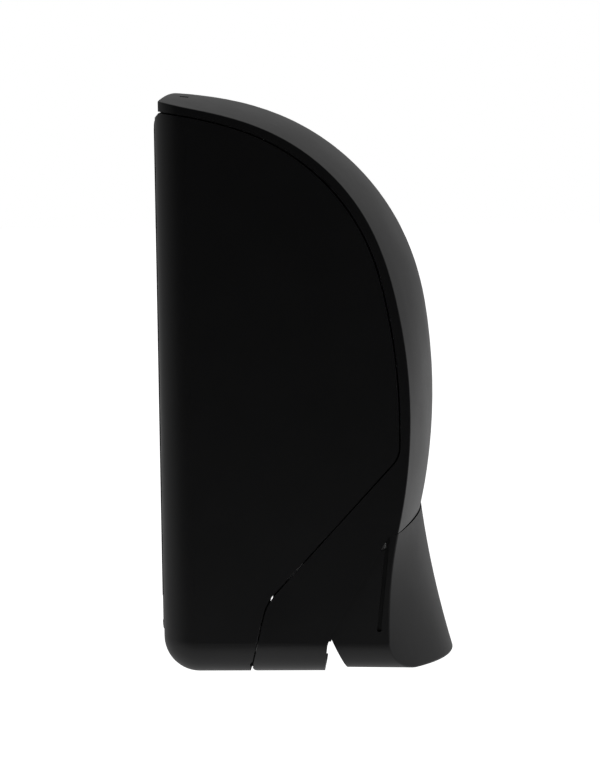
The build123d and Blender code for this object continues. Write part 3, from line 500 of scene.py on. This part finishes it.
def soft_rubber(name, colour):
    """Dull rubber with a fine tooth."""
    shell = bpy.context.scene.dispenser_shell
    material, tree, shader = new_material(name)
    sheen = use_group(tree, "Sheen drift", base=0.68, spread=0.12, patch_size=5 * MM)
    tree.links.new(sheen["Roughness"], shader.inputs["Roughness"])
    bloom = remap(tree, noise(tree, object_place(tree), 1 / (4 * MM), 3.0), 0.4, 0.7, 0.0, 0.5)
    paler = [0.03 + 1.3 * channel for channel in colour]
    tree.links.new(mixed_colour(tree, bloom, opaque(colour), opaque(paler)), shader.inputs["Base Color"])
    grain = use_group(tree, "Mould grain", grain_size=0.5 * shell.grain_size)["Height"]
    raise_surface(tree, shader, grain, 0.2, 0.05 * MM)
    return material


def label_film(name, colour, band, low, high):
    """Printed film: a pale field between two bands, with a thin line inside each."""
    material, tree, shader = new_material(name)
    height = put(tree, "ShaderNodeSeparateXYZ", {0: object_place(tree)}).outputs["Z"]
    share = remap(tree, height, low, high)
    share.node.interpolation_type = "LINEAR"
    from_middle = calculate(tree, "ABSOLUTE", calculate(tree, "SUBTRACT", share, 0.5))
    bands = calculate(tree, "GREATER_THAN", from_middle, 0.36)
    line = calculate(tree, "COMPARE", from_middle, 0.335)
    line.node.inputs[2].default_value = 0.006
    printed = calculate(tree, "MAXIMUM", bands, line)
    tree.links.new(mixed_colour(tree, printed, opaque(colour), opaque(band)), shader.inputs["Base Color"])
    sheen = use_group(tree, "Sheen drift", base=0.3, spread=0.06, patch_size=12 * MM)
    tree.links.new(sheen["Roughness"], shader.inputs["Roughness"])
    raise_surface(tree, shader, noise(tree, object_place(tree), 1 / (6 * MM), 2.0), 0.1, 0.2 * MM)
    return material


def paint(finishes, materials):
    """Each CAD node gets the material of its finish."""
    for node_name, finish in finishes.items():
        for material_slot in frame["nodes"][node_name].material_slots:
            material_slot.material = materials[finish]


# ---- pieces ----

def new_piece(name, mesh, material, body):
    """A smooth-shaded object that rides on a body."""
    piece = bpy.data.objects.new(name, mesh)
    bpy.context.scene.collection.objects.link(piece)
    mesh.materials.append(material)
    mesh.shade_smooth()
    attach(piece, body)
    return piece


def mesh_from(build, name):
    mesh = bpy.data.meshes.new(name)
    build.to_mesh(mesh)
    build.free()
    return mesh


def coil_mesh(name, centre, radius, wire, low, high, turns, sides=12, steps_per_turn=40):
    """A compression spring with closed ends between two heights."""
    build = bmesh.new()
    steps = int(turns * steps_per_turn)
    closed = 0.9 / turns
    rings = []
    for step in range(steps + 1):
        share = step / steps
        rise = min(max((share - closed) / (1 - 2 * closed), 0.0), 1.0)
        flat = wire * (min(share, closed) + max(share - 1 + closed, 0.0)) / closed
        height = low + wire / 2 + flat * 0.98 + (high - low - 3 * wire) * rise
        angle = 2 * math.pi * turns * share
        outward = Vector((math.cos(angle), math.sin(angle), 0.0))
        middle = Vector((centre.x, centre.y, height)) + radius * outward
        ring = []
        for side in range(sides):
            around = 2 * math.pi * side / sides
            offset = outward * math.cos(around) + Vector((0, 0, math.sin(around)))
            ring.append(build.verts.new(middle + wire / 2 * offset))
        rings.append(ring)
    for before, after in zip(rings, rings[1:]):
        for side in range(sides):
            following = (side + 1) % sides
            build.faces.new((before[side], before[following], after[following], after[side]))
    build.faces.new(rings[0])
    build.faces.new(rings[-1])
    bmesh.ops.recalc_face_normals(build, faces=build.faces)
    return mesh_from(build, name)


def shells_of(build):
    """The connected pieces of a mesh, as sets of vertices."""
    left = set(build.verts)
    shells = []
    while left:
        shell, front = set(), [left.pop()]
        while front:
            vertex = front.pop()
            shell.add(vertex)
            for edge in vertex.link_edges:
                other = edge.other_vert(vertex)
                if other in left:
                    left.remove(other)
                    front.append(other)
        shells.append(shell)
    return shells


def cut_level(build, height):
    """Cuts the mesh at a height, drops what is above and closes the cut."""
    geometry = list(build.verts) + list(build.edges) + list(build.faces)
    cut = bmesh.ops.bisect_plane(
        build, geom=geometry, plane_co=(0, 0, height), plane_no=(0, 0, 1), clear_outer=True
    )
    edges = [item for item in cut["geom_cut"] if isinstance(item, bmesh.types.BMEdge)]
    bmesh.ops.edgenet_fill(build, edges=edges)


def soap_mesh(name, bottle, floor, level, gap):
    """The bottle's inner surface from its floor to the soap's level, closed and drawn in by the gap."""
    build = bmesh.new()
    build.from_mesh(bottle.data)
    bmesh.ops.remove_doubles(build, verts=build.verts, dist=0.001 * MM)
    cut_open = list(build.verts) + list(build.edges) + list(build.faces)
    bmesh.ops.bisect_plane(build, geom=cut_open, plane_co=(0, 0, floor), plane_no=(0, 0, 1), clear_inner=True)
    widths = {id(shell): (max(v.co.x for v in shell), shell) for shell in shells_of(build)}
    inner = min(widths.values(), key=lambda item: item[0])[1]
    bmesh.ops.delete(build, geom=[v for v in build.verts if v not in inner], context="VERTS")
    bmesh.ops.recalc_face_normals(build, faces=build.faces)
    cut_level(build, level)
    open_edges = [edge for edge in build.edges if edge.is_boundary]
    bmesh.ops.edgenet_fill(build, edges=open_edges)
    bmesh.ops.triangulate(build, faces=build.faces)
    bmesh.ops.recalc_face_normals(build, faces=build.faces)
    middle = Vector((0, sum(v.co.y for v in build.verts) / len(build.verts), (floor + level) / 2))
    for vertex in build.verts:
        vertex.co += gap * (middle - vertex.co).normalized()
    return mesh_from(build, name)


def label_mesh(name, bottle, centre_height, width, height, thickness, across=32, up=36):
    """A sheet laid on the bottle's front, with rounded corners."""
    tree = BVHTree.FromObject(bottle, bpy.context.evaluated_depsgraph_get())
    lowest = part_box("refill_bottle")[0]
    build = bmesh.new()
    grid = []
    for row in range(up + 1):
        line = []
        for column in range(across + 1):
            u, v = 2 * column / across - 1, 2 * row / up - 1
            inset = max(0.0, abs(v) * height / 2 - (height / 2 - LABEL_CORNER))
            trim = LABEL_CORNER - math.sqrt(max(LABEL_CORNER ** 2 - inset ** 2, 0.0))
            x = u * (width / 2 - trim)
            z = centre_height + v * height / 2
            place, normal, _, _ = tree.ray_cast(Vector((x, lowest.y - 0.1, z)), Vector((0, 1, 0)))
            if place is None:
                raise RuntimeError("the label reaches past the bottle's front")
            line.append(build.verts.new(place + normal * thickness * 1.2))
        grid.append(line)
    for below, above in zip(grid, grid[1:]):
        for column in range(across):
            build.faces.new((below[column], below[column + 1], above[column + 1], above[column]))
    return mesh_from(build, name)


def area_light(name, place, target, width, height, power):
    light = bpy.data.lights.new(name, "AREA")
    light.shape = "RECTANGLE"
    light.size, light.size_y, light.energy = width, height, power
    lamp = bpy.data.objects.new(name, light)
    bpy.context.scene.collection.objects.link(lamp)
    lamp.location = place
    lamp.rotation_euler = (Vector(target) - Vector(place)).to_track_quat("-Z", "Y").to_euler()
    return lamp


def studio_sky(near, far):
    """Plain white to the eye; in reflections it darkens towards the camera's side."""
    world = bpy.data.worlds.new("studio")
    bpy.context.scene.world = world
    world.use_nodes = True
    tree = world.node_tree
    tree.nodes.clear()
    direction = put(tree, "ShaderNodeTexCoord").outputs["Generated"]
    across = put(tree, "ShaderNodeSeparateXYZ", {0: direction}).outputs["X"]
    brightness = remap(tree, across, -0.6, 0.9, near, far)
    dim = put(tree, "ShaderNodeBackground", {"Strength": brightness})
    white = put(tree, "ShaderNodeBackground", {"Color": (1, 1, 1, 1), "Strength": 1.0})
    seen = put(tree, "ShaderNodeLightPath").outputs["Is Camera Ray"]
    chosen = put(tree, "ShaderNodeMixShader", {0: seen, 1: dim.outputs[0], 2: white.outputs[0]})
    put(tree, "ShaderNodeOutputWorld", {"Surface": chosen.outputs[0]})


# ---- operators ----

class DISPENSER_OT_finish_shell(bpy.types.Operator):
    """Finish the cover, the housing, the lever and the wall plate"""
    bl_idname = "dispenser.finish_shell"
    bl_label = "Finish Shell"

    def execute(self, context):
        shell = context.scene.dispenser_shell
        materials = {
            finish: moulded_plastic(f"{finish}_finish", colour, roughness)
            for finish, colour, roughness in (
                ("cover_plastic", shell.cover_colour, shell.cover_roughness),
                ("housing_plastic", shell.housing_colour, shell.housing_roughness),
                ("lever_plastic", shell.lever_colour, shell.lever_roughness),
                ("plate_plastic", shell.plate_colour, shell.housing_roughness),
            )
        }
        paint(SHELL_FINISHES, materials)
        return {"FINISHED"}


class DISPENSER_OT_finish_inside(bpy.types.Operator):
    """Finish the bracket, the yoke, the latch guide and the latch slider"""
    bl_idname = "dispenser.finish_inside"
    bl_label = "Finish Inner Frame"

    def execute(self, context):
        inside = context.scene.dispenser_inside
        materials = {
            finish: moulded_plastic(f"{finish}_finish", colour, inside.roughness)
            for finish, colour in (
                ("bracket_plastic", inside.bracket_colour),
                ("latch_plastic", inside.latch_colour),
            )
        }
        paint(INSIDE_FINISHES, materials)
        return {"FINISHED"}


class DISPENSER_OT_finish_steel(bpy.types.Operator):
    """Finish the screws, the pins, the axle, the balls and the latch spring"""
    bl_idname = "dispenser.finish_steel"
    bl_label = "Finish Steel"

    def execute(self, context):
        settings = context.scene.dispenser_steel
        materials = {
            "screw_steel": steel("screw_steel_finish", settings.screw_colour),
            "bright_steel": steel("bright_steel_finish", settings.bright_colour),
        }
        paint(STEEL_FINISHES, materials)
        return {"FINISHED"}


class DISPENSER_OT_finish_pump(bpy.types.Operator):
    """Finish the cap, the pump and its seals"""
    bl_idname = "dispenser.finish_pump"
    bl_label = "Finish Pump"

    def execute(self, context):
        pump = context.scene.dispenser_pump
        materials = {
            "cap_plastic": moulded_plastic("cap_plastic_finish", pump.cap_colour, 0.34, wear=0.1, dust=0.0),
            "pump_plastic": moulded_plastic("pump_plastic_finish", pump.pump_colour, 0.3, wear=0.1, dust=0.0),
            "seal_rubber": soft_rubber("seal_rubber_finish", pump.seal_colour),
        }
        paint(PUMP_FINISHES, materials)
        return {"FINISHED"}


class DISPENSER_OT_fill_refill(bpy.types.Operator):
    """Finish the bottle, fill it with soap and lay a plain label on it"""
    bl_idname = "dispenser.fill_refill"
    bl_label = "Fill Refill"

    def execute(self, context):
        refill = context.scene.dispenser_refill
        bottle = frame["nodes"]["refill_bottle"]
        low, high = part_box("refill_bottle")
        bottle_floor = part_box("refill_bracket")[1].z + BOTTLE_FLOOR_RISE
        level = bottle_floor + refill.soap_level * (high.z - bottle_floor)
        paint(
            {"refill_bottle": "bottle_plastic"},
            {"bottle_plastic": blown_bottle("bottle_plastic_finish", refill.bottle_colour)},
        )
        soap = soap_mesh("liquid_soap", bottle, bottle_floor, level, refill.soap_gap)
        new_piece("liquid_soap", soap, liquid_soap("liquid_soap_finish", refill.soap_colour), "base")
        centre_height = 0.5 * (bottle_floor + high.z) - LABEL_DROP
        label = label_mesh(
            "refill_label",
            bottle,
            centre_height,
            refill.label_width,
            refill.label_height,
            refill.label_thickness,
        )
        film = label_film(
            "refill_label_finish",
            refill.label_colour,
            refill.band_colour,
            centre_height - refill.label_height / 2,
            centre_height + refill.label_height / 2,
        )
        piece = new_piece("refill_label", label, film, "base")
        piece.modifiers.new("film", "SOLIDIFY").thickness = refill.label_thickness
        return {"FINISHED"}


class DISPENSER_OT_wind_spring(bpy.types.Operator):
    """Wind a pump spring coil in place of the CAD spring"""
    bl_idname = "dispenser.wind_spring"
    bl_label = "Wind Pump Spring"

    def execute(self, context):
        pump = context.scene.dispenser_pump
        low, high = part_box("pump_spring")
        centre = (low + high) / 2
        radius = (high.x - low.x - pump.spring_wire) / 2
        mesh = coil_mesh(
            "pump_spring_coil", centre, radius, pump.spring_wire, low.z, high.z, pump.spring_turns
        )
        spring = new_piece("pump_spring_coil", mesh, bpy.data.materials["bright_steel_finish"], "base")
        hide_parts("pump_spring")
        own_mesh(spring)
        return {"FINISHED"}


class DISPENSER_OT_set_stage(bpy.types.Operator):
    """Set the floor, the lights, the sky and the camera"""
    bl_idname = "dispenser.set_stage"
    bl_label = "Set Stage"

    def floor(self, context):
        stage = context.scene.dispenser_stage
        low, high = CAD_BOX
        build = bmesh.new()
        bmesh.ops.create_grid(build, x_segments=16, y_segments=16, size=0.5)
        floor = bpy.data.objects.new("studio_floor", mesh_from(build, "studio_floor"))
        floor.scale = (stage.floor_near + stage.floor_far, stage.floor_far, 1.0)
        middle = (low + high) / 2
        floor.location = ((stage.floor_far - stage.floor_near) / 2, middle.y, low.z - stage.floor_drop)
        context.scene.collection.objects.link(floor)
        material, tree, shader = new_material("studio_floor_finish")
        shader.inputs["Base Color"].default_value = opaque(stage.floor_colour)
        tree.links.new(
            use_group(tree, "Sheen drift", base=0.8, spread=0.1, patch_size=0.2)["Roughness"],
            shader.inputs["Roughness"],
        )
        shader.inputs["Emission Color"].default_value = (1, 1, 1, 1)
        seen = put(tree, "ShaderNodeLightPath").outputs["Is Camera Ray"]
        extra = calculate(tree, "MULTIPLY", seen, stage.floor_glow - stage.floor_bounce)
        tree.links.new(calculate(tree, "ADD", extra, stage.floor_bounce), shader.inputs["Emission Strength"])
        floor.data.materials.append(material)

    def lights(self, context):
        stage = context.scene.dispenser_stage
        low, high = CAD_BOX
        target = (low + high) / 2
        for name, (place, width, height), power in (
            ("key_light", KEY_LIGHT, stage.key_power),
            ("rim_light", RIM_LIGHT, stage.rim_power),
            ("top_light", TOP_LIGHT, stage.top_power),
        ):
            area_light(name, target + place, target, width, height, power)
        studio_sky(stage.sky_near, stage.sky_far)

    def camera(self, context):
        stage = context.scene.dispenser_stage
        low, high = CAD_BOX
        target = Vector(((low.x + high.x) / 2, low.y + CAMERA_AIM_BACK, low.z + CAMERA_AIM_UP))
        turn, rise, roll = stage.camera_turn, stage.camera_rise, stage.camera_roll
        back = Vector((-math.cos(turn) * math.cos(rise), -math.sin(turn) * math.cos(rise), math.sin(rise)))
        right = (-back).cross(Vector((0, 0, 1))).normalized()
        up = right.cross(-back)
        leaned_right = math.cos(roll) * right + math.sin(roll) * up
        leaned_up = math.cos(roll) * up - math.sin(roll) * right
        lens = bpy.data.cameras.new("camera")
        lens.lens = stage.camera_lens
        lens.sensor_width = 36.0
        lens.clip_end = 100.0
        camera = bpy.data.objects.new("camera", lens)
        context.scene.collection.objects.link(camera)
        turned = Matrix((leaned_right, leaned_up, back)).transposed().to_4x4()
        camera.matrix_world = Matrix.Translation(target + stage.camera_distance * back) @ turned
        context.scene.camera = camera

    def execute(self, context):
        self.floor(context)
        self.lights(context)
        self.camera(context)
        context.scene.view_settings.view_transform = "Standard"
        return {"FINISHED"}


OPERATORS = (
    DISPENSER_OT_finish_shell,
    DISPENSER_OT_finish_inside,
    DISPENSER_OT_finish_steel,
    DISPENSER_OT_finish_pump,
    DISPENSER_OT_fill_refill,
    DISPENSER_OT_wind_spring,
    DISPENSER_OT_set_stage,
)
SETTINGS = {
    "dispenser_shell": ShellSettings,
    "dispenser_inside": InsideSettings,
    "dispenser_steel": SteelSettings,
    "dispenser_refill": RefillSettings,
    "dispenser_pump": PumpSettings,
    "dispenser_stage": StageSettings,
}


class DISPENSER_PT_sidebar(bpy.types.Panel):
    """The dispenser's settings and operators"""
    bl_idname = "DISPENSER_PT_sidebar"
    bl_label = "Soap Dispenser"
    bl_space_type = "VIEW_3D"
    bl_region_type = "UI"
    bl_category = "Dispenser"

    def draw(self, context):
        for name, settings in SETTINGS.items():
            box = self.layout.box()
            for setting in settings.__annotations__:
                box.prop(getattr(context.scene, name), setting)
        for operator in OPERATORS:
            self.layout.operator(operator.bl_idname)


def register():
    for settings in SETTINGS.values():
        bpy.utils.register_class(settings)
    for operator in OPERATORS:
        bpy.utils.register_class(operator)
    bpy.utils.register_class(DISPENSER_PT_sidebar)
    for name, settings in SETTINGS.items():
        setattr(bpy.types.Scene, name, PointerProperty(type=settings))


def unregister():
    for name in SETTINGS:
        delattr(bpy.types.Scene, name)
    bpy.utils.unregister_class(DISPENSER_PT_sidebar)
    for cls in (*reversed(OPERATORS), *reversed(SETTINGS.values())):
        bpy.utils.unregister_class(cls)


def main():
    register()
    bpy.ops.dispenser.finish_shell()
    bpy.ops.dispenser.finish_inside()
    bpy.ops.dispenser.finish_steel()
    bpy.ops.dispenser.finish_pump()
    bpy.ops.dispenser.fill_refill()
    bpy.ops.dispenser.wind_spring()
    bpy.ops.dispenser.set_stage()


if __name__ == "__main__":
    main()
